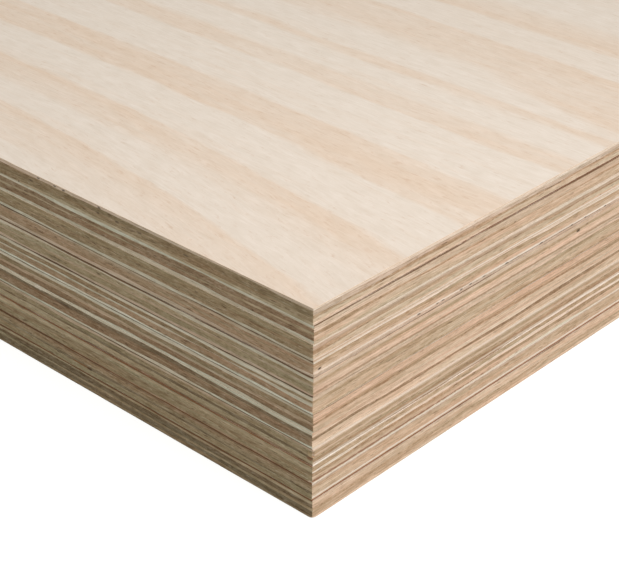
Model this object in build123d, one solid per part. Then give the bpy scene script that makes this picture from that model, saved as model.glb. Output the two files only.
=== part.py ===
from build123d import *
from math import cos, sin, tau
import os

# A stack of like five-ply plywood sheets, laid flush on each other.
# +X runs along the sheets and the grain of their faces, +Y across them and +Z up. The origin is the middle
# of the stack's underside. Every size is in millimetres.

# Sheet
sheet_length = 2440.0
sheet_width = 1220.0
face_thickness = 1.25
crossband_thickness = 2.7
centre_thickness = 1.1
# Side grain has dried back from the sawn edge by this much, and end grain has not.
side_grain_shrinkage = 0.15
arris = 0.3

# Stack, from the bottom sheet up: how much thicker or thinner than its lay-up each sheet left the press.
# Its two crossbands share the difference. The differences add up to nothing.
press_variation = [0.6, 0.2, 0.3, -0.1, -0.3, 0.4, 0.2, 0.5, -0.8, -0.5, 0.2, -0.7]
# A sheet lies off the stack's middle by up to this much each way, and each sheet turns the way it is pushed
# by this share of a turn from the one below.
stagger = 0.2
stagger_turn = 5 / 12

# Wear at the near corner, which is the one at +X and -Y. One sheet's back veneer is worn round there.
worn_radius = 3.0
worn_sheet = 1
# A chip takes a triangle out of one veneer: its reach along and across the sheet.
back_chip_along = 2.4
back_chip_across = 1.3
back_chip_sheet = 3
core_chip_along = 3.0
core_chip_across = 1.5
core_chip_sheet = 4


def lay_up(variation):
    """The veneers of a sheet, from its back up: name, thickness, and whether the grain runs along the sheet."""
    crossband = crossband_thickness + variation / 2
    return [
        ("back", face_thickness, True),
        ("lower crossband", crossband, False),
        ("centre", centre_thickness, True),
        ("upper crossband", crossband, False),
        ("face", face_thickness, True),
    ]


def veneer_outline(grain_along):
    """A veneer's rectangle. It ends at the saw cut across its grain, and short of it at its sides."""
    length = sheet_length if grain_along else sheet_length - 2 * side_grain_shrinkage
    width = sheet_width - 2 * side_grain_shrinkage if grain_along else sheet_width
    return Rectangle(length, width)


def rounded_near_corner(outline):
    """The outline with its near corner worn round."""
    near_corner = outline.vertices().sort_by(Axis.X)[-2:].sort_by(Axis.Y)[0]
    return fillet(near_corner, worn_radius)


def chipped_near_corner(outline, along, across):
    """The outline with a triangle broken off its near corner."""
    corner_x = outline.bounding_box().max.X
    corner_y = outline.bounding_box().min.Y
    points = [(corner_x, corner_y), (corner_x - along, corner_y), (corner_x, corner_y + across)]
    return outline - make_face(Polyline(points, close=True))


def sheet(number, variation):
    """One sheet, numbered from the bottom: five veneers glued into one panel, with eased arrises."""
    panel = Part()
    level = 0
    for name, thickness, grain_along in lay_up(variation):
        outline = veneer_outline(grain_along)
        if number == worn_sheet and name == "back":
            outline = rounded_near_corner(outline)
        if number == back_chip_sheet and name == "back":
            outline = chipped_near_corner(outline, back_chip_along, back_chip_across)
        if number == core_chip_sheet and name == "upper crossband":
            outline = chipped_near_corner(outline, core_chip_along, core_chip_across)
        panel += Pos(0, 0, level) * extrude(outline, thickness)
        level += thickness
    face_edges = panel.faces().sort_by(Axis.Z)[-1].outer_wire().edges()
    back_edges = panel.faces().sort_by(Axis.Z)[0].outer_wire().edges()
    return chamfer(face_edges + back_edges, arris)


def sheet_thickness(variation):
    """How thick a sheet came out of the press."""
    return sum(thickness for name, thickness, grain_along in lay_up(variation))


os.makedirs("parts", exist_ok=True)
underside = 0
for number, variation in enumerate(press_variation, start=1):
    heading = tau * stagger_turn * (number - 1)
    placed = Pos(stagger * cos(heading), stagger * sin(heading), underside) * sheet(number, variation)
    export_step(placed, f"parts/sheet_{number:02d}.step")
    underside += sheet_thickness(variation)
    print(f"sheet_{number:02d}", "solids", len(placed.solids()), "top at", round(underside, 3))
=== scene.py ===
# %% [markdown]
# # A stack of plywood sheets
# Twelve five-ply sheets lie flush on each other. What the eye reads is the edge: each sheet shows two thin
# pale face veneers, two thick crossbands and a thin centre veneer. Their grain turns at every glue line, so
# a veneer that shows long fibres on the long side of the stack shows cut ends on its short side. The top
# sheet shows rotary-cut pine, with wide soft bands and short fine marks.
#
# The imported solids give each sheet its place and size. Every sheet is remade here as one closed surface,
# worked out with numpy, and two kinds of material dress it: one for sawn edges and one for the face.

import bpy
import numpy as np
from mathutils import Matrix, Vector


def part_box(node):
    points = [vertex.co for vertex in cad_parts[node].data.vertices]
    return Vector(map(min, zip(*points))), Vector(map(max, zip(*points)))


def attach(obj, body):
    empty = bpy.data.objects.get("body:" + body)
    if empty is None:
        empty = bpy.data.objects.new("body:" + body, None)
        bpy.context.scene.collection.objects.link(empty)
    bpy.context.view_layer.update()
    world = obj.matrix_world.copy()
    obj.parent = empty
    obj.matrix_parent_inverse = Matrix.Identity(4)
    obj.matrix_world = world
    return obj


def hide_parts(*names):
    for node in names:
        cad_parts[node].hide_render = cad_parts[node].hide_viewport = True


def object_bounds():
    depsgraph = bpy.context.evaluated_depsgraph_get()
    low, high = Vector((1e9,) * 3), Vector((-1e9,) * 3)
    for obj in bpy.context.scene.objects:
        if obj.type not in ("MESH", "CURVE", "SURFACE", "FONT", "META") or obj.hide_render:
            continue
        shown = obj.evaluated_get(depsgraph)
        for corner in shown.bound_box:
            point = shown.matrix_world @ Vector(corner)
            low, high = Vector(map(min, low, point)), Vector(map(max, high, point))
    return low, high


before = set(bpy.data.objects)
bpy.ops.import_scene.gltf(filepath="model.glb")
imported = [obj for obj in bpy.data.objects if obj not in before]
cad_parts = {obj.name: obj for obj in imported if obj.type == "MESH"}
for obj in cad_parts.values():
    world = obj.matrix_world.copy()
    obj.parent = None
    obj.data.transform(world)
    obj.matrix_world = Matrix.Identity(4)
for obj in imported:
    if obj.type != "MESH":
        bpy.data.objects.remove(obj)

MM = 0.001
cad_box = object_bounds()
low_corner, high_corner = cad_box
sheet_nodes = sorted(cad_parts)
print("sheets", len(sheet_nodes), "stack", [round(v, 4) for v in high_corner - low_corner], "m")

# %% [markdown]
# ## The colours of the veneers
# A mill peels its veneers from several kinds of log, so the plies differ: pale pine outside, tan and brown
# hardwood inside. A few named wood colours are enough, given as linear red, green and blue. Named
# colours keep the lay-up readable, and the shader adds the grain, so no picture is needed.

# %% Wood colours
WOODS = {
    "snow": (0.90, 0.785, 0.695),
    "milk": (0.80, 0.73, 0.60),
    "cream": (0.725, 0.635, 0.505),
    "pearl": (0.84, 0.70, 0.59),
    "blush": (0.79, 0.60, 0.46),
    "peach": (0.76, 0.53, 0.395),
    "rose": (0.70, 0.51, 0.375),
    "oat": (0.71, 0.545, 0.42),
    "wheat": (0.63, 0.478, 0.345),
    "ash": (0.63, 0.475, 0.37),
    "fawn": (0.60, 0.43, 0.30),
    "khaki": (0.53, 0.415, 0.275),
    "tan": (0.52, 0.375, 0.25),
    "clay": (0.49, 0.33, 0.215),
    "olive": (0.44, 0.335, 0.21),
    "brown": (0.40, 0.285, 0.175),
    "russet": (0.36, 0.235, 0.145),
    "umber": (0.275, 0.20, 0.125),
}
print("wood colours", ", ".join(WOODS))

# %% [markdown]
# ## What each sheet is laid up from
# Noise could choose the veneers, but a mill's lay-up is a plain list, and a list can be set sheet by sheet.
# Each line below is one sheet, from the bottom of the stack up. It gives the thickness of its five veneers
# in millimetres from its back to its face, then the colour of each on the long sides of the stack, where
# crossbands show their cut ends, and on the short ends, where the others do. The last two numbers say how
# open the joint above the sheet looks on the long side and on the end: 0 is pressed shut, and 1 is a dark
# line.

# %% Lay-ups
# The openness also sets how much painted shade darkens the joint.
LAY_UPS = [
    ((1.5, 2.6, 1.2, 2.7, 1.6), "brown umber olive umber khaki", "blush fawn tan rose rose", 0.9, 0.2),
    ((0.9, 2.7, 1.1, 3.0, 1.5), "khaki olive umber brown russet", "clay rose fawn fawn ash", 0.95, 0.1),
    ((1.0, 2.6, 1.9, 1.5, 2.3), "clay olive brown olive khaki", "cream rose clay pearl tan", 0.75, 0.1),
    ((0.9, 2.7, 1.3, 2.5, 1.5), "russet khaki umber olive wheat", "snow clay tan fawn oat", 0.7, 0.1),
    ((1.6, 2.9, 1.5, 1.6, 1.1), "milk russet russet umber milk", "blush rose russet blush peach", 0.0, 0.1),
    ((1.0, 2.7, 1.6, 2.4, 1.7), "milk russet wheat brown cream", "oat rose clay peach peach", 0.5, 0.2),
    ((1.3, 2.9, 1.0, 2.1, 1.9), "milk clay cream brown cream", "tan wheat wheat tan oat", 0.7, 0.3),
    ((1.6, 3.1, 1.1, 2.0, 1.7), "oat olive wheat olive cream", "oat peach rose tan oat", 0.7, 0.3),
    ((2.0, 2.2, 0.9, 1.7, 1.4), "oat clay tan clay wheat", "ash rose fawn tan pearl", 0.7, 0.1),
    ((1.7, 2.7, 0.9, 1.7, 1.5), "cream brown brown olive olive", "rose wheat clay ash pearl", 0.0, 0.1),
    ((1.8, 2.8, 1.0, 2.3, 1.7), "cream russet khaki russet milk", "wheat rose clay oat oat", 0.1, 0.55),
    ((1.4, 2.0, 1.3, 2.1, 1.5), "khaki brown brown brown oat", "oat wheat clay ash pearl", 0.1, 0.05),
]
PLIES = 5
print("veneers", len(LAY_UPS) * PLIES)

# %% [markdown]
# ## Walking round a sheet
# A box with a bevel would be quicker, but its veneers could neither wander nor open a joint. So the sawn
# edge is a profile carried along a path. The path goes once round the sheet, anticlockwise seen from above,
# and its stations crowd together near the corner that is seen from close by. Opposite sides get the same
# stations, so that the flat faces can be closed with long strips later.

# %% Stations along a side
CORNER_RADIUS = 0.5 * MM
FINEST_STEP, FINEST_REACH = 0.4 * MM, 6 * MM
FINE_STEP, FINE_REACH = 2 * MM, 270 * MM
COARSE_STEP = 12 * MM


def stations(length):
    """Distances from the near corner: steps of 0.4 mm, then 2 mm, then about 12 mm to the far end."""
    finest = np.arange(0, FINEST_REACH, FINEST_STEP)
    fine = np.arange(FINEST_REACH, FINE_REACH, FINE_STEP)
    steps_left = int(np.ceil((length - FINE_REACH) / COARSE_STEP))
    coarse = np.linspace(FINE_REACH, length, steps_left + 1)
    return np.concatenate([finest, fine, coarse])


print("stations along a long side", len(stations(high_corner.x - low_corner.x)))

# %% The path round a sheet
ARC_STEPS = 4


def path_round(low, high):
    """The saw cut round a box, as columns: point, outward normal, run along the path, and side 0 to 3.

    A straight column is a point of the rectangle. A corner is a quarter circle about a point set in by the
    corner radius from both sides, split between the two sides that it joins.
    """
    r = CORNER_RADIUS
    along = stations(high.x - low.x - 2 * r)
    across = stations(high.y - low.y - 2 * r)
    turns = [
        (np.stack([high.x - r - along[::-1], np.full(len(along), low.y)], 1), (high.x - r, low.y + r), -90),
        (np.stack([np.full(len(across), high.x), low.y + r + across], 1), (high.x - r, high.y - r), 0),
        (np.stack([high.x - r - along, np.full(len(along), high.y)], 1), (low.x + r, high.y - r), 90),
        (np.stack([np.full(len(across), low.x), low.y + r + across[::-1]], 1), (low.x + r, low.y + r), 180),
    ]
    points, normals, sides = [], [], []
    for side, (straight, centre, start) in enumerate(turns):
        angles = np.radians(start + 90 * np.arange(1, ARC_STEPS) / ARC_STEPS)
        arc_normals = np.stack([np.cos(angles), np.sin(angles)], 1)
        outward = np.radians(start)
        points += [straight, np.array(centre) + r * arc_normals]
        normals += [np.tile([np.cos(outward), np.sin(outward)], (len(straight), 1)), arc_normals]
        sides += [np.full(len(straight) + 1, side), np.full(ARC_STEPS - 2, (side + 1) % 4)]
    points, normals, sides = np.concatenate(points), np.concatenate(normals), np.concatenate(sides)
    steps = np.linalg.norm(np.roll(points, -1, axis=0) - points, axis=1)
    run = np.concatenate([[0], np.cumsum(steps)[:-1]])
    return points, normals, run, sides, steps.sum(), (len(along), len(across))


path_run, path_sides, way_round, side_counts = path_round(*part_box("sheet_12"))[2:]
near_corner_run = path_run[side_counts[0] + ARC_STEPS // 2 - 1]
print("columns", len(path_run), "and way round", round(way_round, 3), "m")
print("near corner at", round(near_corner_run, 3), "m along it")

# %% [markdown]
# ## Wobble
# Veneer is soft when it is pressed, so glue lines wander by a few tenths of a millimetre, and so does the
# rounding of a handled edge. A sum of sine waves with random phases gives such a line. Their lengths divide
# the way round, so that the wobble closes on itself, and a seeded generator gives the same sheet every run.

# %% A closed wobble
def wobble(run, around, longest, shortest, rng, waves=16):
    """A smooth closed random line of unit spread: sine waves, the longer the stronger, added up."""
    lengths = np.geomspace(longest, shortest, waves)
    cycles = np.round(around / lengths)[:, None]
    strength = np.sqrt(lengths / longest)[:, None]
    phase = rng.uniform(0, 2 * np.pi, waves)[:, None]
    lines = strength * np.sin(2 * np.pi * cycles * run[None, :] / around + phase)
    return lines.sum(axis=0) / np.sqrt((strength**2).sum() / 2)


print("a wobble spans", np.round(wobble(path_run, way_round, 0.3, 0.05, np.random.default_rng(1)).std(), 2))

# %% [markdown]
# ## The profile of an edge
# From the back of a sheet up to its face the saw cut rolls over a small arris, crosses five veneers with a
# fine glue line between each two, and rolls over the other arris. An open joint between two sheets is no
# more than two larger arrises that face each other, so the openness in the lay-up table sets their radius
# and the painted shade in the joint. End grain stands at the saw cut. Side grain has dried back from it a
# little.
# A bump map could fake these steps, but they show in the outline of the near corner, so they are real.

# %% Sizes of the profile
# How much painted shade an open joint puts on each row of an arris, from the flat face out to the saw cut.
ARRIS_PAINTED_SHADE = (1.0, 0.95, 0.75, 0.3)
TOP_ARRIS_SHADE = 0.8
TIGHT_ARRIS, OPEN_ARRIS = 0.10 * MM, 0.55 * MM
ARRIS_LIMITS = 0.6 * TIGHT_ARRIS, 1.5 * OPEN_ARRIS
ARRIS_UNEVENNESS = 0.22
UNDERSIDE_JOINT = (0.1, 0.1)
GLUE_HALF_WIDTH, GLUE_DEPTH, GLUE_SHADE = 0.10 * MM, 0.02 * MM, 0.5
GLUE_WANDER = 0.28 * MM
SIDE_GRAIN_DEPTH, ROUGHNESS_DEPTH = 0.08 * MM, 0.05 * MM
CORNER_WEAR, CORNER_WEAR_REACH = 0.45 * MM, (0.4 * MM, 1.6 * MM)
# The longest and the shortest wave of each wobble, in metres.
ARRIS_WAVES, GLUE_WAVES, ROUGHNESS_WAVES = (0.25, 0.02), (0.35, 0.03), (0.12, 0.012)
FIRST_SEED = 100
print("an arris is", round(TIGHT_ARRIS / MM, 2), "to", round(OPEN_ARRIS / MM, 2), "mm before it wobbles")


# %% Arrises and worn corners
def openness(values, sides):
    """The openness of a joint at each column, from its value on the long sides and on the ends."""
    return np.where(sides % 2 == 0, values[0], values[1])


def arris(run, around, sides, values, rng):
    """The arris radius along a joint: its openness, times a wobble that makes the joint open and close."""
    uneven = 1 + ARRIS_UNEVENNESS * wobble(run, around, *ARRIS_WAVES, rng)
    radius = TIGHT_ARRIS + (OPEN_ARRIS - TIGHT_ARRIS) * openness(values, sides)
    return np.clip(radius * uneven, *ARRIS_LIMITS)


def corner_wear(run, around, sides, rng):
    """How far a veneer is worn back by each corner: a depth that dies away as exp(-distance / reach)."""
    worn = np.zeros(len(run))
    turns = run[np.flatnonzero(np.diff(sides, append=sides[0]))]
    for turn in turns:
        distance = np.abs(run - turn)
        distance = np.minimum(distance, around - distance)
        worn += rng.uniform(0, CORNER_WEAR) * np.exp(-distance / rng.uniform(*CORNER_WEAR_REACH))
    return worn


wear = corner_wear(path_run, way_round, path_sides, np.random.default_rng(1))
print("a corner may be worn back by", round(wear.max() / MM, 2), "mm")


# %% Rows of the profile
def profile(number, low, high, run, around, sides):
    """Rows by columns of height and inset, with the veneer and the joint shade of each row.

    Heights run from the back to the face. An arris is a quarter circle: at angle t its height is r(1-cos t)
    and its inset r(1-sin t). Between them each glue line has three rows and each veneer one.
    """
    rng = np.random.default_rng(FIRST_SEED + number)
    joint_below = LAY_UPS[number - 1][3:] if number else UNDERSIDE_JOINT
    joint_above = LAY_UPS[number][3:]
    lower = arris(run, around, sides, joint_below, rng)
    upper = arris(run, around, sides, joint_above, rng)
    # The painted shade of a joint grows with its arris radius, and the top sheet's upper arris takes
    # TOP_ARRIS_SHADE of it.
    shade_below, shade_above = lower / OPEN_ARRIS, upper / OPEN_ARRIS
    if number == len(LAY_UPS) - 1:
        shade_above = TOP_ARRIS_SHADE * shade_above
    thickness = np.array(LAY_UPS[number][0]) * MM
    thickness *= (high.z - low.z) / thickness.sum()
    levels = low.z + np.cumsum(thickness)[:-1]
    turn = np.linspace(0, np.pi / 2, len(ARRIS_PAINTED_SHADE))
    long_side = (sides % 2 == 0).astype(float)
    heights, insets, plies, shades = [], [], [], []

    def row(height, inset, ply, shade):
        heights.append(height + 0 * run)
        insets.append(inset + 0 * run)
        plies.append(ply)
        shades.append(shade + 0 * run)

    def ply_depth(ply):
        side_grain = long_side if ply % 2 == 0 else 1 - long_side
        rough = 0.5 + 0.5 * wobble(run, around, *ROUGHNESS_WAVES, rng)
        worn = corner_wear(run, around, sides, rng)
        return SIDE_GRAIN_DEPTH * side_grain + ROUGHNESS_DEPTH * np.clip(rough, 0, 2) + worn

    depths = [ply_depth(ply) for ply in range(PLIES)]
    for t, painted_shade in zip(turn, ARRIS_PAINTED_SHADE):
        row(low.z + lower * (1 - np.cos(t)), depths[0] + lower * (1 - np.sin(t)), 0, painted_shade * shade_below)
    for ply in range(PLIES):
        if ply:
            line = levels[ply - 1] + GLUE_WANDER * wobble(run, around, *GLUE_WAVES, rng)
            glue_depth = np.maximum(depths[ply - 1], depths[ply]) + GLUE_DEPTH
            row(line - GLUE_HALF_WIDTH, depths[ply - 1], ply - 1, 0)
            row(line, glue_depth, ply - 1, rng.uniform(0, GLUE_SHADE))
            row(line + GLUE_HALF_WIDTH, depths[ply], ply, 0)
        middle = low.z + thickness[:ply].sum() + thickness[ply] / 2
        row(middle, depths[ply], ply, 0)
    for t, painted_shade in zip(turn[::-1], ARRIS_PAINTED_SHADE[::-1]):
        inset = depths[-1] + upper * (1 - np.sin(t))
        row(high.z - upper * (1 - np.cos(t)), inset, PLIES - 1, painted_shade * shade_above)
    return np.array(heights), np.array(insets), np.array(plies), np.array(shades)


rows_made = profile(5, *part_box("sheet_06"), path_run, way_round, path_sides)
print("profile rows", len(rows_made[2]), "deepest inset", round(rows_made[1].max() / MM, 2), "mm")

# %% [markdown]
# ## Wear at the near corner
# Corners take the knocks. The lowest veneer of the stack is worn round there, and two veneers higher up have
# a chip out of them. A Boolean could cut them, but it would leave slivers across the grid. Here points
# outside a new outline are brought onto it instead, a quarter circle for wear and a straight chord for a
# chip, and only in the rows of the veneer that is hurt.

# %% Worn and chipped corners
WORN_RADIUS = 3.0 * MM
CHIPS = {"sheet_03": (0, 2.4 * MM, 1.3 * MM), "sheet_04": (3, 3.0 * MM, 1.5 * MM)}


def worn_round(points, low, high):
    """Brings points beyond a quarter circle at the near corner onto it, along the circle's radius."""
    centre = np.array([high.x - WORN_RADIUS, low.y + WORN_RADIUS])
    arm = points - centre
    reach = np.linalg.norm(arm, axis=-1, keepdims=True)
    beyond = (arm[..., :1] > 0) & (arm[..., 1:] < 0) & (reach > WORN_RADIUS)
    return np.where(beyond, centre + arm * WORN_RADIUS / np.maximum(reach, 1e-9), points)


def chipped(points, low, high, along, across):
    """Brings points beyond the chord of a chip onto it, in the direction of the chord's middle."""
    back = high.x - points[..., 0]
    over = points[..., 1] - low.y
    short = np.clip((1 - back / along - over / across) / 2, 0, None)
    return points + np.stack([-short * along, short * across], -1)


print("chipped sheets", ", ".join(CHIPS))

# %% [markdown]
# ## One sheet as a mesh
# Twelve copies of one mesh would be lighter, but real sheets differ, so each gets a grid of its own, which
# closes on itself round the sheet. Long strips from side to side close its two faces, with one many-sided
# face at each end. Every face of the edge keeps the colour of its veneer and its number, and every corner
# keeps its run and height as texture coordinates.

# %% Points of a sheet
def sheet_points(name, points, normals, heights, insets, plies):
    """Rows by columns of points: the path set in along its normals, at the heights of the profile."""
    low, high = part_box(name)
    flat = points[None] - normals[None] * insets[..., None]
    if name == "sheet_01":
        flat[plies == 0] = worn_round(flat[plies == 0], low, high)
    if name in CHIPS:
        ply, along, across = CHIPS[name]
        flat[plies == ply] = chipped(flat[plies == ply], low, high, along, across)
    return np.concatenate([flat, heights[..., None]], axis=-1)


# %% Faces of a sheet
END_STRIP = 6


def face_strips(ring, counts):
    """Quads from side to side between matching columns of a ring, and one polygon at each end of it."""
    along, across = counts
    front = ring[:along]
    start = along + across + 2 * (ARC_STEPS - 1)
    back = ring[start:start + along][::-1]
    first, last = END_STRIP, along - 1 - END_STRIP
    quads = np.stack([front[first:last], front[first + 1:last + 1],
                      back[first + 1:last + 1], back[first:last]], 1)
    near_end = np.concatenate([ring[last:start], back[last:][::-1]])
    far_end = np.concatenate([back[:first + 1][::-1], ring[start + along:], front[:first + 1]])
    return quads, near_end, far_end


def edge_faces(rows, columns):
    """Quads of the grid that goes once round the sheet, each with its row and its column."""
    row, column = np.meshgrid(np.arange(rows - 1), np.arange(columns), indexing="ij")
    after = (column + 1) % columns
    quads = np.stack([row * columns + column, row * columns + after,
                      (row + 1) * columns + after, (row + 1) * columns + column], -1)
    return quads.reshape(-1, 4), row.ravel(), column.ravel()


def flat_faces(rows, columns, counts):
    """The strips of both flat faces, then their ends. Those of the underside are turned over."""
    ring = np.arange(columns)
    top_strips, top_near, top_far = face_strips(ring + (rows - 1) * columns, counts)
    strips, near_end, far_end = face_strips(ring, counts)
    ends = [top_near, top_far, near_end[::-1], far_end[::-1]]
    return top_strips.tolist() + strips[:, ::-1].tolist() + [end.tolist() for end in ends]


print("strips on a flat face", len(face_strips(np.arange(len(path_run)), side_counts)[0]))


# %% What the materials read from a sheet
FACE_SLOT, SIDE_GRAIN_SLOT, END_GRAIN_SLOT = 0, 1, 2
print("material slots", FACE_SLOT, SIDE_GRAIN_SLOT, END_GRAIN_SLOT)


def colour_veneers(mesh, number, face_ply, on_end, shades):
    """Gives each face its veneer's colour, number and material, and each point its joint shade."""
    edge_count = len(face_ply)
    woods = np.array([[WOODS[wood] for wood in names.split()] for names in LAY_UPS[number][1:3]])
    tint = np.ones((len(mesh.polygons), 4))
    tint[:edge_count, :3] = woods[on_end, face_ply]
    tint[edge_count:, :3] = WOODS["cream"]
    mesh.attributes.new("tint", "FLOAT_COLOR", "FACE").data.foreach_set("color", tint.ravel())
    ply_number = np.zeros(len(mesh.polygons))
    ply_number[:edge_count] = number * PLIES + face_ply + 1
    mesh.attributes.new("ply", "FLOAT", "FACE").data.foreach_set("value", ply_number)
    mesh.attributes.new("joint", "FLOAT", "POINT").data.foreach_set("value", shades.ravel())
    slots = np.full(len(mesh.polygons), FACE_SLOT)
    slots[:edge_count] = np.where(face_ply % 2 == on_end, SIDE_GRAIN_SLOT, END_GRAIN_SLOT)
    mesh.polygons.foreach_set("material_index", slots)


def unroll_edge(mesh, grid, run, around, face_column):
    """Texture coordinates of the edge: run and height. The faces that close the loop run on past its end."""
    columns = grid.shape[1]
    corners = np.empty(len(mesh.loops), int)
    mesh.loops.foreach_get("vertex_index", corners)
    corner_run = run[corners % columns]
    closing = np.zeros(len(corners), bool)
    closing[:4 * len(face_column)] = np.repeat(face_column == columns - 1, 4)
    corner_run = np.where(closing & (corner_run < around / 2), corner_run + around, corner_run)
    corner_height = grid[..., 2].ravel()[corners]
    uv = mesh.uv_layers.new(name="edge")
    uv.data.foreach_set("uv", np.stack([corner_run, corner_height], 1).ravel())


# %% Build a sheet
def make_sheet(number, name):
    """One closed sheet in place of its solid, with the veneers' colours, numbers and joint shade on it."""
    low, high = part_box(name)
    points, normals, run, sides, around, counts = path_round(low, high)
    heights, insets, plies, shades = profile(number, low, high, run, around, sides)
    grid = sheet_points(name, points, normals, heights, insets, plies)
    rows, columns = heights.shape
    quads, face_row, face_column = edge_faces(rows, columns)
    face_ply = np.maximum(plies[face_row], plies[face_row + 1])
    mesh = bpy.data.meshes.new(name + "_sheet")
    mesh.from_pydata(grid.reshape(-1, 3), [], quads.tolist() + flat_faces(rows, columns, counts))
    colour_veneers(mesh, number, face_ply, sides[face_column] % 2, shades)
    unroll_edge(mesh, grid, run, around, face_column)
    mesh.update()
    mesh.validate()
    piece = bpy.data.objects.new(name + "_veneers", mesh)
    bpy.context.scene.collection.objects.link(piece)
    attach(piece, "root")
    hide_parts(name)
    return piece


sheets = [make_sheet(number, name) for number, name in enumerate(sheet_nodes)]
triangles = sum(len(piece.data.loops) - 2 * len(piece.data.polygons) for piece in sheets)
print("sheets made", len(sheets), "with", triangles, "triangles")

# %% [markdown]
# ## Small helpers for node trees
# A shader is a tree of nodes. It could be drawn by hand in the editor, but code can be read and run again,
# and a few tiny helpers keep the trees short enough to read.

# %% Adding nodes
def plug(tree, value, socket):
    """Links another node's socket to an input, or gives the input a plain value."""
    if isinstance(value, bpy.types.NodeSocket):
        tree.links.new(value, socket)
    else:
        socket.default_value = value


def add(tree, kind, settings=None, **inputs):
    """Adds a node to a tree, and plugs its inputs by name, with underscores for spaces."""
    node = tree.nodes.new(kind)
    for name, value in (settings or {}).items():
        setattr(node, name, value)
    for name, value in inputs.items():
        plug(tree, value, node.inputs[name.replace("_", " ")])
    return node


def placed(tree, group, **inputs):
    """Places a node group in a tree."""
    return add(tree, "ShaderNodeGroup", {"node_tree": group}, **inputs)


# %% Sums and mixes
def maths(tree, operation, *values, clamp=False):
    """The result of one sum of sockets or numbers."""
    node = add(tree, "ShaderNodeMath", {"operation": operation, "use_clamp": clamp})
    for socket, value in zip(node.inputs, values):
        plug(tree, value, socket)
    return node.outputs[0]


def vector_maths(tree, operation, first, second):
    """The result of one sum of two vectors."""
    node = add(tree, "ShaderNodeVectorMath", {"operation": operation})
    plug(tree, first, node.inputs[0])
    plug(tree, second, node.inputs[1])
    return node.outputs[0]


def blend(tree, factor, first, second, how="MIX"):
    """Two colours mixed by a factor, or multiplied, darkened and so on."""
    node = add(tree, "ShaderNodeMix", {"data_type": "RGBA", "blend_type": how, "clamp_factor": True})
    for index, value in ((0, factor), (6, first), (7, second)):
        plug(tree, value, node.inputs[index])
    return node.outputs[2]


def spread(tree, value, from_low, from_high, to_low, to_high):
    """A value carried from one range to another and held inside it."""
    node = add(tree, "ShaderNodeMapRange", Value=value, From_Min=from_low, From_Max=from_high,
               To_Min=to_low, To_Max=to_high)
    return node.outputs[0]


def about_zero(tree, value, strength):
    """A value between 0 and 1, less a half, times a strength."""
    return maths(tree, "MULTIPLY", maths(tree, "SUBTRACT", value, 0.5), strength)


# %% New groups and materials
def new_group(name, inputs, outputs):
    """An empty node group with named sockets, the values that it is given and the ones it gives back."""
    group = bpy.data.node_groups.new(name, "ShaderNodeTree")
    for label, kind in inputs:
        group.interface.new_socket(label, in_out="INPUT", socket_type="NodeSocket" + kind)
    for label, kind in outputs:
        group.interface.new_socket(label, in_out="OUTPUT", socket_type="NodeSocket" + kind)
    return group, group.nodes.new("NodeGroupInput").outputs, group.nodes.new("NodeGroupOutput").inputs


def new_material(name, roughness, gloss):
    """A material with one roughness and gloss all over, and its tree and shader."""
    material = bpy.data.materials.new(name)
    material.use_nodes = True
    shader = material.node_tree.nodes["Principled BSDF"]
    shader.inputs["Roughness"].default_value = roughness
    shader.inputs["Specular IOR Level"].default_value = gloss
    return material, material.node_tree, shader


# %% [markdown]
# ## Grain as a node group
# Side grain shows long fine streaks, end grain shows short specks and pores, and a pine face shows both a
# fine fibre and slow clouds. All three are noise that is stretched more or less, so one group serves them
# all. It takes a colour and a place and gives back the colour with the grain in it, and the grain by itself
# for the bump.

# %% The grain group
GREEN_POWER, BLUE_POWER = 1.18, 1.5


def noise(tree, place, size, detail=3.0, roughness=0.6):
    """Noise of about unit size at a place divided by the three lengths in size."""
    return add(tree, "ShaderNodeTexNoise", Vector=vector_maths(tree, "DIVIDE", place, size), Scale=1.0,
               Detail=detail, Roughness=roughness).outputs["Fac"]


def shaded(tree, colour, shade):
    """A colour times a shade. Green and blue take a power of the shade, so darker wood is also redder."""
    tint = add(tree, "ShaderNodeCombineXYZ", X=shade, Y=maths(tree, "POWER", shade, GREEN_POWER),
               Z=maths(tree, "POWER", shade, BLUE_POWER))
    return vector_maths(tree, "MULTIPLY", colour, tint.outputs[0])


def grain_group():
    """Colour times 1 + streaks + clouds, both noise about zero. Sizes are metres along and across."""
    group, given, result = new_group(
        "wood grain",
        [("Colour", "Color"), ("Place", "Vector"), ("Streak size", "Vector"), ("Streak", "Float"),
         ("Cloud size", "Vector"), ("Cloud", "Float")],
        [("Colour", "Color"), ("Grain", "Float")],
    )
    streaks = noise(group, given["Place"], given["Streak size"], 4.0, 0.65)
    clouds = noise(group, given["Place"], given["Cloud size"], 2.0, 0.5)
    streak = about_zero(group, streaks, given["Streak"])
    cloud = about_zero(group, clouds, given["Cloud"])
    shade = maths(group, "ADD", 1.0, maths(group, "ADD", streak, cloud))
    group.links.new(shaded(group, given["Colour"], shade), result["Colour"])
    group.links.new(streaks, result["Grain"])
    return group


GRAIN = grain_group()
print("group", GRAIN.name, "with", len(GRAIN.nodes), "nodes")

# %% [markdown]
# ## Joints, strips and marks
# Three more effects sit on every sawn edge. Dust and painted shade fill the joint between two sheets. A core
# veneer is laid from strips that come from different logs, so its tone steps every few hundred millimetres,
# with now and then a narrow gap between two strips, painted black as the shade in it. And knots, pitch and
# torn fibre show as spots and streaks, each placed by its distance from the near corner. Each effect is a
# group.

# %% The joint group
BREAK_SIZE, BREAK_STRENGTH = (0.012, 0.05, 1), 0.3


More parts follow.
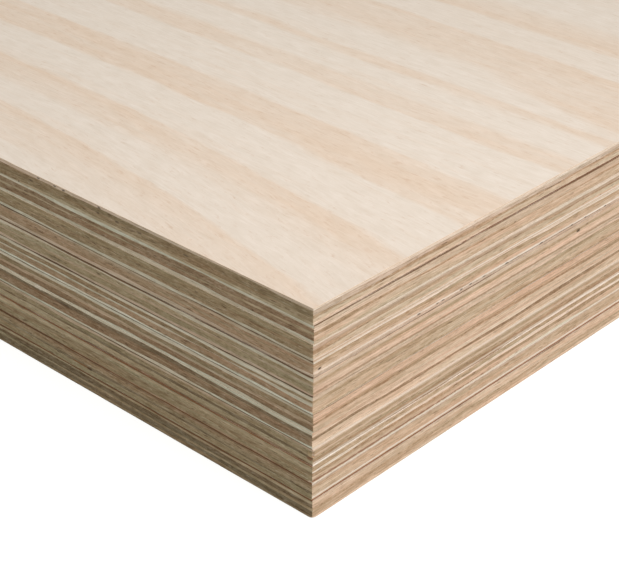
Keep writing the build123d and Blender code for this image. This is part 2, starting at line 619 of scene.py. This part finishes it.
def joint_group():
    """Dust and painted shade: darkens a colour towards the joint colour where the joint mask is high, broken
    up by noise.
    """
    group, given, result = new_group(
        "joint shade",
        [("Colour", "Color"), ("Place", "Vector"), ("Joint", "Float"), ("Joint colour", "Color")],
        [("Colour", "Color")],
    )
    broken = about_zero(group, noise(group, given["Place"], BREAK_SIZE, 4.0, 0.7), BREAK_STRENGTH)
    mask = spread(group, maths(group, "ADD", given["Joint"], broken), 0.15, 0.5, 0.0, 1.0)
    amount = maths(group, "MULTIPLY", mask, spread(group, given["Joint"], 0.0, 0.1, 0.0, 1.0))
    darker = blend(group, amount, given["Colour"], given["Joint colour"])
    group.links.new(darker, result["Colour"])
    return group


JOINT = joint_group()
print("group", JOINT.name, "with", len(JOINT.nodes), "nodes")

# %% The strip group
STRIP_LENGTH, GAP_WIDTH = 0.31, 0.6 * MM
# Each veneer's strips start a little further on than those of the one below, and few of them leave a gap.
PLY_SHIFT, GAP_RARITY = 0.137, 0.985


def strip_group():
    """Steps the tone of a veneer from strip to strip: white noise of its number and its place along the run.

    A gap is where a strip has just begun, and only before the few strips whose white noise is high.
    The edge material paints it black, as painted shade in the gap.
    """
    group, given, result = new_group(
        "veneer strips", [("Colour", "Color"), ("Place", "Vector"), ("Ply", "Float"), ("Strip", "Float")],
        [("Colour", "Color"), ("Gap", "Float")],
    )
    split = add(group, "ShaderNodeSeparateXYZ", Vector=given["Place"])
    shift = maths(group, "MULTIPLY", given["Ply"], PLY_SHIFT)
    along = maths(group, "DIVIDE", maths(group, "ADD", split.outputs["X"], shift), STRIP_LENGTH)
    cell = maths(group, "FLOOR", along)
    key = add(group, "ShaderNodeCombineXYZ", X=cell, Y=given["Ply"])
    random = add(group, "ShaderNodeTexWhiteNoise", Vector=key.outputs[0]).outputs["Value"]
    shade = maths(group, "ADD", 1.0, about_zero(group, random, given["Strip"]))
    begun = maths(group, "LESS_THAN", maths(group, "FRACT", along), GAP_WIDTH / STRIP_LENGTH)
    painted_gap_shade = maths(group, "MULTIPLY", begun, maths(group, "GREATER_THAN", random, GAP_RARITY))
    group.links.new(shaded(group, given["Colour"], shade), result["Colour"])
    group.links.new(painted_gap_shade, result["Gap"])
    return group


STRIPS = strip_group()
print("group", STRIPS.name, "with", len(STRIPS.nodes), "nodes")

# %% The mark group
RAGGEDNESS = 1.6


def mark_group():
    """One ragged spot: 1 inside an ellipse about a centre, 0 outside, with noise added to the distance."""
    group, given, result = new_group(
        "edge mark", [("Place", "Vector"), ("Ragged", "Float"), ("Centre", "Vector"), ("Reach", "Vector")],
        [("Mask", "Float")],
    )
    off = vector_maths(group, "SUBTRACT", given["Place"], given["Centre"])
    scaled = vector_maths(group, "DIVIDE", off, given["Reach"])
    length = add(group, "ShaderNodeVectorMath", {"operation": "LENGTH"}, Vector=scaled)
    unevenness = about_zero(group, given["Ragged"], RAGGEDNESS)
    distance = maths(group, "ADD", length.outputs["Value"], unevenness)
    group.links.new(spread(group, distance, 0.55, 1.05, 1.0, 0.0), result["Mask"])
    return group


MARK = mark_group()
print("group", MARK.name, "with", len(MARK.nodes), "nodes")

# %% [markdown]
# ## Where the marks are
# Marks could be painted on a picture, but a list of them stays sharp from close by. Each line is one mark:
# its side, its distance from the near corner and its height in millimetres, its reach each way, its colour
# and its strength. Short dark ones are knots and pitch. Long dark ones lie on joints between sheets and on
# glue lines, and are partly stain and partly painted shade of an open joint. Long pale ones are fibre that
# the saw has torn along a glue line. One that reaches 400 mm runs all along the near part of its side.

# %% Marks on the edges
INKY, RUST, DEEP_RUST = (0.05, 0.03, 0.02), (0.33, 0.15, 0.065), (0.25, 0.095, 0.045)
MARKS = [
    ("long", 112, 103.8, 4.0, 0.9, INKY, 0.25),
    ("long", 168, 67.4, 7.0, 0.8, INKY, 0.35),
    ("long", 165, 43.0, 9.0, 1.0, INKY, 0.4),
    ("long", 183, 45.0, 3.5, 0.9, WOODS["snow"], 0.6),
    ("long", 60, 42.6, 26.0, 0.35, WOODS["khaki"], 0.7),
    ("long", 95, 41.6, 12.0, 0.3, WOODS["khaki"], 0.6),
    ("long", 153, 13.4, 10.0, 0.6, RUST, 0.8),
    ("long", 147, 13.2, 3.0, 0.7, INKY, 0.6),
    ("long", 30, 50.2, 14.0, 0.5, RUST, 0.3),
    # These three lie on the lowest joints between sheets: stain and painted shade of the open joint.
    ("long", 110, 28.2, 400.0, 0.4, RUST, 0.75),
    ("long", 110, 18.8, 400.0, 0.45, RUST, 0.8),
    ("long", 110, 9.7, 400.0, 0.4, RUST, 0.6),
    ("long", 1.8, 31.5, 2.2, 1.0, DEEP_RUST, 0.75),
    ("long", 1.2, 19.6, 1.6, 0.8, WOODS["blush"], 0.8),
    ("long", 8, 22.2, 6.0, 0.35, RUST, 0.6),
    ("end", 3.9, 77.0, 1.2, 0.75, INKY, 0.95),
    ("end", 190.6, 70.3, 1.9, 1.0, INKY, 0.95),
    ("end", 61, 79.7, 2.2, 0.45, RUST, 0.55),
    ("end", 77, 79.7, 1.6, 0.45, RUST, 0.5),
    ("end", 47, 50.3, 5.0, 0.8, RUST, 0.3),
    ("end", 80, 17.0, 2.2, 0.9, RUST, 0.3),
    ("end", 139, 16.0, 2.0, 0.8, RUST, 0.4),
    # This one lies on the lowest joint between sheets: stain and painted shade of the open joint.
    ("end", 110, 10.1, 400.0, 0.5, DEEP_RUST, 0.75),
    ("end", 155, 11.2, 4.0, 0.5, RUST, 0.7),
    ("end", 172, 11.2, 3.0, 0.5, RUST, 0.7),
    ("end", 20, 20.2, 130.0, 0.65, DEEP_RUST, 0.75),
    ("end", 130, 83.0, 400.0, 0.35, WOODS["snow"], 0.7),
    ("end", 55, 81.2, 26.0, 0.35, WOODS["snow"], 0.6),
    ("end", 110, 75.9, 400.0, 0.55, WOODS["snow"], 0.7),
    ("end", 110, 18.8, 400.0, 0.65, WOODS["snow"], 0.85),
    ("end", 110, 11.3, 400.0, 0.6, WOODS["snow"], 0.85),
    ("end", 110, 87.9, 400.0, 0.5, WOODS["clay"], 0.6),
    ("end", 110, 66.1, 400.0, 0.6, WOODS["russet"], 0.75),
    ("end", 110, 29.6, 400.0, 0.6, WOODS["snow"], 0.5),
    ("end", 110, 33.6, 400.0, 0.45, WOODS["oat"], 0.8),
    ("end", 110, 35.5, 400.0, 0.8, WOODS["brown"], 0.5),
    ("end", 110, 37.2, 400.0, 0.7, WOODS["snow"], 0.6),
    ("end", 110, 51.6, 400.0, 0.5, WOODS["clay"], 0.75),
    ("end", 110, 71.9, 400.0, 0.4, WOODS["oat"], 0.8),
    ("end", 2, 67.0, 10.0, 4.5, RUST, 0.15),
    # This one lies on the joint under the top sheet: stain and painted shade of the open joint.
    ("end", 190, 100.1, 160.0, 0.4, DEEP_RUST, 0.95),
    ("end", 170, 82.7, 120.0, 0.35, WOODS["snow"], 0.9),
    ("end", 128, 75.7, 14.0, 0.6, WOODS["snow"], 0.9),
    ("end", 152, 75.6, 12.0, 0.5, WOODS["snow"], 0.9),
    ("end", 205, 75.7, 24.0, 0.5, WOODS["snow"], 0.9),
    ("end", 172, 75.1, 60.0, 0.22, INKY, 0.6),
    ("end", 100, 76.3, 9.0, 0.5, RUST, 0.4),
    # A pinkish-tan line on the top arris of the end: painted shade that dulls the light the arris catches.
    ("end", 110, 107.9, 400.0, 0.3, WOODS["rose"], 0.6),
    ("end", 110, 70.5, 400.0, 0.4, WOODS["brown"], 0.45),
]
CHIPPED_LINE = (69, 82, 86, 99, 106, 116, 133, 160, 185, 196, 213)
MARKS += [("end", along, 75.3, 1.4, 0.4, INKY, 0.75) for along in CHIPPED_LINE]
MARKS += [("long", along, 106.9, 1.3, 0.5, INKY, 0.7) for along in (133, 158, 164, 176)]
MARKS += [("long", along, 103.9, 1.8, 0.7, INKY, 0.55) for along in (76, 106, 121, 134, 182)]
print("marks", len(MARKS))

# %% [markdown]
# ## Sawn edges
# Two materials dress the edge. They differ in the size of the grain: side grain runs in streaks of a
# centimetre or more, and end grain is a speckle of a millimetre or two. In both, slow lines run along the
# veneer, because the knife peels through growth rings, and the darker the wood, the stronger its figure. One
# pattern for all would repeat, so the veneer's number is the third coordinate of the noise, and no two
# veneers are alike.

# %% Colours and sizes of the edge grain
# The colour of the dust and painted shade in a joint.
JOINT_DUST_AND_SHADE_COLOUR = (0.19, 0.11, 0.062, 1)
DARK_FLECK, PALE_FLECK = (0.14, 0.08, 0.045, 1), (0.80, 0.70, 0.58, 1)
OLIVE_DRIFT, PINK_DRIFT = (0.96, 1.0, 1.0, 1), (1.05, 0.985, 0.965, 1)
# Each size is metres along the run and up the edge.
WAVE_SIZE, WAVE_BEND = (0.035, 0.01, 1), 1.8 * MM
RIPPLE_SIZE, RIPPLE_BEND = (0.009, 0.003, 1), 1.1 * MM
LINE_SIZE, LINE_CLOUD_SIZE, GRAIN_CLOUD_SIZE = (0.22, 0.0005, 1), (0.04, 0.003, 1), (0.007, 0.0012, 1)
DRIFT_SIZE, FLECK_SIZE = (0.08, 0.003, 1), (0.005, 0.0007, 1)
RAGGED_SIZE, SAW_SIZE = (0.0025, 0.0012, 1), (0.0009, 0.03, 1)
# Noise coordinates of neighbouring veneers lie this far apart.
PLIES_APART = 3.7
# How strong the figure is, from the darkest wood to the palest, by their green.
PALENESS, FIGURE = (0.2, 0.55), (1.6, 0.65)
print("slow lines are about", round(LINE_SIZE[0] / MM), "mm long")

# %% Place and marks on the edge
def bent_place(tree, ply):
    """The run and height on the edge, the height bent up and down by slow noise, and the veneer's number."""
    edge = add(tree, "ShaderNodeUVMap", {"uv_map": "edge"}).outputs[0]
    split = add(tree, "ShaderNodeSeparateXYZ", Vector=edge)
    depth = maths(tree, "MULTIPLY", ply, PLIES_APART)
    place = add(tree, "ShaderNodeCombineXYZ", X=split.outputs["X"], Y=split.outputs["Y"], Z=depth).outputs[0]
    wave = about_zero(tree, noise(tree, place, WAVE_SIZE, 2.0), WAVE_BEND)
    ripple = about_zero(tree, noise(tree, place, RIPPLE_SIZE, 2.0), RIPPLE_BEND)
    height = maths(tree, "ADD", split.outputs["Y"], maths(tree, "ADD", wave, ripple))
    bent = add(tree, "ShaderNodeCombineXYZ", X=split.outputs["X"], Y=height, Z=depth).outputs[0]
    return edge, place, bent


def marked(tree, colour, edge, ragged):
    """The colour with the marks laid over it, those of each side kept to their side of the near corner."""
    marked_side = {"long": colour, "end": colour}
    for side, along, height, reach_along, reach_up, tone, strength in MARKS:
        run = near_corner_run + along * MM * (1 if side == "end" else -1)
        mask = placed(tree, MARK, Place=edge, Ragged=ragged, Centre=(run, height * MM, 0),
                      Reach=(reach_along * MM, reach_up * MM, 1)).outputs["Mask"]
        opacity = maths(tree, "MULTIPLY", mask, strength)
        marked_side[side] = blend(tree, opacity, marked_side[side], (*tone, 1))
    run_here = add(tree, "ShaderNodeSeparateXYZ", Vector=edge).outputs["X"]
    past_corner = maths(tree, "GREATER_THAN", run_here, near_corner_run)
    return blend(tree, past_corner, marked_side["long"], marked_side["end"])


# %% Edge materials
def edge_material(name, fine, fine_strength, clouds, pits, bump):
    """A matt sawn veneer: its colour, strip by strip, with slow lines, fine grain, dark dashes and marks."""
    material, tree, shader = new_material(name, roughness=0.85, gloss=0.2)
    tint = add(tree, "ShaderNodeAttribute", {"attribute_name": "tint"}).outputs["Color"]
    ply = add(tree, "ShaderNodeAttribute", {"attribute_name": "ply"}).outputs["Fac"]
    joint = add(tree, "ShaderNodeAttribute", {"attribute_name": "joint"}).outputs["Fac"]
    edge, place, bent = bent_place(tree, ply)
    paleness = add(tree, "ShaderNodeSeparateColor", Color=tint).outputs["Green"]
    figure = spread(tree, paleness, *PALENESS, *FIGURE)
    strips = placed(tree, STRIPS, Colour=tint, Place=place, Ply=ply, Strip=0.16)
    lines = placed(tree, GRAIN, Colour=strips.outputs["Colour"], Place=bent, Streak_size=LINE_SIZE,
                   Streak=0.65, Cloud_size=LINE_CLOUD_SIZE, Cloud=maths(tree, "MULTIPLY", figure, 0.35))
    grain = placed(tree, GRAIN, Colour=lines.outputs["Colour"], Place=bent, Streak_size=fine,
                   Streak=maths(tree, "MULTIPLY", figure, fine_strength), Cloud_size=GRAIN_CLOUD_SIZE,
                   Cloud=maths(tree, "MULTIPLY", figure, clouds))
    drift = spread(tree, noise(tree, bent, DRIFT_SIZE, 3.0, 0.5), 0.35, 0.65, 0.0, 1.0)
    tone = blend(tree, drift, OLIVE_DRIFT, PINK_DRIFT)
    colour = blend(tree, 1.0, grain.outputs["Colour"], tone, "MULTIPLY")
    flecks = noise(tree, bent, FLECK_SIZE, 2.0, 0.5)
    colour = blend(tree, spread(tree, flecks, 0.38, 0.28, 0.0, 0.3), colour, PALE_FLECK)
    dark = maths(tree, "MULTIPLY", figure, spread(tree, flecks, 0.60, 0.72, 0.0, pits))
    colour = blend(tree, dark, colour, DARK_FLECK)
    # A gap between strips is painted black: painted shade in the hole.
    colour = blend(tree, strips.outputs["Gap"], colour, (*INKY, 1))
    # Dust and painted shade darken the joints between sheets and the glue lines.
    colour = placed(tree, JOINT, Colour=colour, Place=edge, Joint=joint,
                    Joint_colour=JOINT_DUST_AND_SHADE_COLOUR).outputs["Colour"]
    colour = marked(tree, colour, edge, noise(tree, edge, RAGGED_SIZE, 3.0, 0.6))
    saw = noise(tree, edge, SAW_SIZE, 2.0)
    height = maths(tree, "ADD", grain.outputs["Grain"], maths(tree, "MULTIPLY", saw, 0.5))
    relief = add(tree, "ShaderNodeBump", Strength=0.5, Distance=bump, Height=height)
    tree.links.new(colour, shader.inputs["Base Color"])
    tree.links.new(relief.outputs["Normal"], shader.inputs["Normal"])
    return material


side_grain = edge_material("sawn side grain", fine=(0.012, 0.0004, 1), fine_strength=0.8, clouds=0.8,
                           pits=0.5, bump=0.13 * MM)
end_grain = edge_material("sawn end grain", fine=(0.0018, 0.0006, 1), fine_strength=0.8, clouds=0.6,
                          pits=0.6, bump=0.2 * MM)
print("edge materials", side_grain.name, "and", end_grain.name)

# %% [markdown]
# ## The face of the sheet
# Rotary-cut pine is peeled in one long sheet, so its growth rings come out as wide soft bands along the
# grain. Each has one side that ends sharply, where the season stopped. A wave texture would space them
# evenly, so a ramp across the sheet holds them instead. It repeats every 360 mm, and noise bends it along
# the length, more so further off. Fine fibre and short resin marks follow the bands, because they are read
# in the same bent coordinates.

# %% Growth bands across the sheet
BAND_PERIOD = 0.36
# Millimetres across the sheet, and how strong the band is there.
BAND_STOPS = [
    (14, 0.15), (27, 0.65), (41.5, 1.0), (43.5, 0), (60, 0.05), (74, 0.85), (83, 1.0), (85, 0),
    (111.5, 0), (114, 1.0), (126, 1.0), (136.5, 0.85), (138.5, 0),
    (170, 0), (172.5, 0.8), (184, 0.65), (190, 0), (207, 0), (210.5, 0.75), (215, 0.85), (218, 0),
    (236, 0), (250, 0.65), (278, 0.9), (280, 0.1), (304, 0.1), (307, 0.9), (322, 0.8), (336, 0),
]


def band_ramp(tree, across):
    """A ramp that repeats across the sheet. Close stops make a sharp edge, and others a soft one."""
    turned = maths(tree, "FRACT", maths(tree, "DIVIDE", across, BAND_PERIOD))
    ramp = add(tree, "ShaderNodeValToRGB", Fac=turned)
    stops = ramp.color_ramp.elements
    stops[0].color = stops[1].color = (0, 0, 0, 1)
    for where, level in BAND_STOPS:
        stops.new(where * MM / BAND_PERIOD).color = (level, level, level, 1)
    return ramp.outputs["Color"]


print("growth bands", len(BAND_STOPS), "stops in", BAND_PERIOD, "m")

# %% The bent coordinates of the face
# How far the bands dip at the near corner, and how far along and across the sheet the dip reaches.
DIP, DIP_ALONG, DIP_ACROSS = 0.0375, 0.23, 0.15
NEAR_BEND, FAR_BEND, QUICK_BEND = 0.012, 0.30, 0.008
SLOW_SIZE, QUICK_SIZE = (1.5, 0.22, 1), (0.05, 0.007, 1)
# The fork's reach from the end, how fast it widens and its strength, and where each of its sides fades in.
FORK_REACH, FORK_SLOPE, FORK_STRENGTH = 0.135, 0.2, 0.85
FORK_LOW, FORK_HIGH = (0.244, 0.254), (0.248, 0.256)
print("the bands dip by", round(DIP / MM, 1), "mm at the near corner")


def face_place(tree):
    """Object coordinates whose second one is the distance from the near side, bent by slow noise.

    At the near corner the bands dip by 37.5 mm. Beyond 0.3 m from it the slow bend grows to some tens of
    millimetres. The fork is a wedge below one band: it starts 135 mm off the end, and it widens by a fifth
    of the way from there to the end.
    """
    place = add(tree, "ShaderNodeTexCoord").outputs["Object"]
    split = add(tree, "ShaderNodeSeparateXYZ", Vector=place)
    from_side = maths(tree, "SUBTRACT", split.outputs["Y"], low_corner.y)
    from_end = maths(tree, "SUBTRACT", high_corner.x, split.outputs["X"])
    near_end = maths(tree, "SUBTRACT", 1.0, maths(tree, "DIVIDE", from_end, DIP_ALONG), clamp=True)
    near_side = maths(tree, "SUBTRACT", 1.0, maths(tree, "DIVIDE", from_side, DIP_ACROSS), clamp=True)
    near = maths(tree, "MULTIPLY", maths(tree, "POWER", near_end, 1.3), near_side)
    dip = maths(tree, "MULTIPLY", near, DIP)
    off_end = spread(tree, from_end, 0.3, 1.2, 0, 1)
    off_side = spread(tree, from_side, 0.35, 0.9, 0, 1)
    far_bend = maths(tree, "MULTIPLY", maths(tree, "MAXIMUM", off_end, off_side), FAR_BEND)
    slow = about_zero(tree, noise(tree, place, SLOW_SIZE, 1.5), maths(tree, "ADD", NEAR_BEND, far_bend))
    quick = about_zero(tree, noise(tree, place, QUICK_SIZE, 5.0, 0.65), QUICK_BEND)
    bend = maths(tree, "ADD", slow, quick)
    across = maths(tree, "ADD", maths(tree, "ADD", from_side, dip), bend)
    bent = add(tree, "ShaderNodeCombineXYZ", X=split.outputs["X"], Y=across, Z=0.0).outputs[0]
    to_end = maths(tree, "SUBTRACT", FORK_REACH, from_end, clamp=True)
    fork_edge = maths(tree, "ADD", across, maths(tree, "MULTIPLY", FORK_SLOPE, to_end))
    fork_low = spread(tree, fork_edge, *FORK_LOW, 0.0, 1.0)
    fork = maths(tree, "MULTIPLY", fork_low, spread(tree, across, *FORK_HIGH, 1.0, 0.0))
    return bent, across, near, fork


# %% The face material
FACE_PALE, FACE_TAN = (0.713, 0.624, 0.564, 1), (0.688, 0.547, 0.450, 1)
FACE_MARK = (0.49, 0.29, 0.18, 1)


def face_material():
    """Pale pine: bands with patchy strength, streaks and clouds in them, and short resin marks on top."""
    material, tree, shader = new_material("pine face", roughness=0.72, gloss=0.3)
    bent, across, near, fork = face_place(tree)
    band = maths(tree, "MAXIMUM", band_ramp(tree, across), maths(tree, "MULTIPLY", fork, FORK_STRENGTH))
    patchy = spread(tree, noise(tree, bent, (0.10, 0.012, 1), 4.0, 0.65), 0.3, 0.7, 0.45, 1.15)
    faint = spread(tree, noise(tree, bent, (0.14, 0.007, 1), 3.0, 0.6), 0.5, 0.75, 0.0, 0.35)
    amount = maths(tree, "ADD", maths(tree, "MULTIPLY", band, patchy), faint)
    level = maths(tree, "MULTIPLY", maths(tree, "SUBTRACT", 0.5, amount), 0.35)
    amount = maths(tree, "ADD", amount, maths(tree, "MULTIPLY", near, level))
    colour = blend(tree, amount, FACE_PALE, FACE_TAN)
    fibre = placed(tree, GRAIN, Colour=colour, Place=bent, Streak_size=(0.018, 0.0009, 1), Streak=0.26,
                   Cloud_size=(0.012, 0.006, 1), Cloud=0.12)
    marks = noise(tree, bent, (0.008, 0.00055, 1), 2.0, 0.5)
    wanted = spread(tree, amount, 0.0, 0.8, 0.0, 0.06)
    strong = spread(tree, maths(tree, "ADD", marks, wanted), 0.60, 0.78, 0.0, 0.32)
    colour = blend(tree, strong, fibre.outputs["Colour"], FACE_MARK)
    relief = add(tree, "ShaderNodeBump", Strength=0.4, Distance=0.0001, Height=fibre.outputs["Grain"])
    tree.links.new(colour, shader.inputs["Base Color"])
    tree.links.new(relief.outputs["Normal"], shader.inputs["Normal"])
    return material


pine_face = face_material()
for piece in sheets:
    for material in (pine_face, side_grain, end_grain):
        piece.data.materials.append(material)
print("face material", pine_face.name, "with", len(pine_face.node_tree.nodes), "nodes")

# %% [markdown]
# ## Floor, light and camera
# The stack lies on a plain pale floor. The key light stands to the right, so the end of the stack is bright
# and the long side lies in its own shade, lit only by the pale room. Several soft boxes would do it too, but
# one far light and an even room are simpler, and a small lamp lifts the face near the corner. The camera
# looks down at that corner from about 0.8 m, and its place is measured from it.

# %% Floor
FLOOR_REACH, FLOOR_GAP = 30.0, 0.02 * MM
FLOOR_GREY, FLOOR_GLOW = (0.36, 0.36, 0.35, 1), 0.8


def floor_material():
    """Grey enough not to light the stack from below. The camera itself sees it mostly as glowing white."""
    material, tree, shader = new_material("pale floor", roughness=0.95, gloss=0.0)
    seen = add(tree, "ShaderNodeLightPath").outputs["Is Camera Ray"]
    shader.inputs["Base Color"].default_value = FLOOR_GREY
    shader.inputs["Emission Color"].default_value = (1, 1, 1, 1)
    tree.links.new(maths(tree, "MULTIPLY", seen, FLOOR_GLOW), shader.inputs["Emission Strength"])
    return material


floor_mesh = bpy.data.meshes.new("floor")
floor_mesh.from_pydata([(-FLOOR_REACH, -FLOOR_REACH, 0), (FLOOR_REACH, -FLOOR_REACH, 0),
                        (FLOOR_REACH, FLOOR_REACH, 0), (-FLOOR_REACH, FLOOR_REACH, 0)], [], [(0, 1, 2, 3)])
floor = bpy.data.objects.new("floor", floor_mesh)
floor_mesh.materials.append(floor_material())
bpy.context.scene.collection.objects.link(floor)
floor.location.z = low_corner.z - FLOOR_GAP
print("floor at", round(floor.location.z / MM, 2), "mm")

# %% Room
FILL_COLOUR, FILL_STRENGTH = (0.955, 1.0, 0.932, 1), 0.568


def pale_room():
    """A world that lights the stack with a faint tint and shows the camera plain white."""
    world = bpy.data.worlds.new("pale room")
    world.use_nodes = True
    tree = world.node_tree
    sky = tree.nodes["Background"]
    seen = add(tree, "ShaderNodeLightPath").outputs["Is Camera Ray"]
    tree.links.new(blend(tree, seen, FILL_COLOUR, (1, 1, 1, 1)), sky.inputs["Color"])
    tree.links.new(spread(tree, seen, 0.0, 1.0, FILL_STRENGTH, 1.0), sky.inputs["Strength"])
    return world


bpy.context.scene.world = pale_room()
bpy.context.scene.view_settings.view_transform = "Standard"
print("the room lights the stack with strength", FILL_STRENGTH)

# %% Lights
KEY_FROM, KEY_STRENGTH, KEY_WIDTH = Vector((0.75, -0.02, 0.66)), 1.81, np.radians(35)
LAMP_FROM_CORNER, LAMP_SIZE, LAMP_POWER = Vector((0.05, 0.11, 0.49)), 0.25, 0.45
KEY_COLOUR, LAMP_COLOUR = (1.0, 0.94, 0.89), (1.0, 0.96, 0.92)


def key_light():
    """A far light as wide as a large soft box. It has no fall-off along the sheets."""
    light = bpy.data.lights.new("key", "SUN")
    light.energy, light.color, light.angle = KEY_STRENGTH, KEY_COLOUR, KEY_WIDTH
    lamp = bpy.data.objects.new("key", light)
    lamp.rotation_euler = KEY_FROM.to_track_quat("Z", "Y").to_euler()
    bpy.context.scene.collection.objects.link(lamp)
    return light


def corner_lamp():
    """A small soft lamp high above the near corner, which makes the face a little brighter there."""
    light = bpy.data.lights.new("corner lamp", "AREA")
    light.shape, light.size = "DISK", LAMP_SIZE
    light.energy, light.color = LAMP_POWER, LAMP_COLOUR
    lamp = bpy.data.objects.new("corner lamp", light)
    lamp.location = Vector((high_corner.x, low_corner.y, low_corner.z)) + LAMP_FROM_CORNER
    lamp.visible_camera = False
    bpy.context.scene.collection.objects.link(lamp)
    return light


key, lamp_over_corner = key_light(), corner_lamp()
print("key strength", round(key.energy, 2), "and corner lamp", round(lamp_over_corner.energy, 2), "W")

# %% Camera
VIEW_AZIMUTH, VIEW_ELEVATION, VIEW_ROLL = 42.715, 30.018, 0.421
VIEW_OFFSET = Vector((0.4302, -0.4687, 0.4889))
FOCAL_PIXELS, PICTURE_WIDTH, SENSOR = 1802.0, 619, 36.0


def photo_camera():
    """A camera at a measured offset from the foot of the near corner, with the picture's angle of view."""
    azimuth, elevation, roll = np.radians([VIEW_AZIMUTH, VIEW_ELEVATION, VIEW_ROLL])
    level = np.cos(elevation)
    back = Vector((np.sin(azimuth) * level, -np.cos(azimuth) * level, np.sin(elevation)))
    right = Vector((np.cos(azimuth), np.sin(azimuth), 0))
    up = back.cross(right)
    turned_right = np.cos(roll) * right + np.sin(roll) * up
    turned_up = back.cross(turned_right)
    lens = bpy.data.cameras.new("view")
    lens.sensor_width, lens.lens = SENSOR, SENSOR * FOCAL_PIXELS / PICTURE_WIDTH
    camera = bpy.data.objects.new("view", lens)
    matrix = Matrix((turned_right, turned_up, back)).transposed().to_4x4()
    matrix.translation = Vector((high_corner.x, low_corner.y, low_corner.z)) + VIEW_OFFSET
    camera.matrix_world = matrix
    bpy.context.scene.collection.objects.link(camera)
    return camera


bpy.context.scene.camera = photo_camera()
print("lens", round(bpy.context.scene.camera.data.lens, 1), "mm")
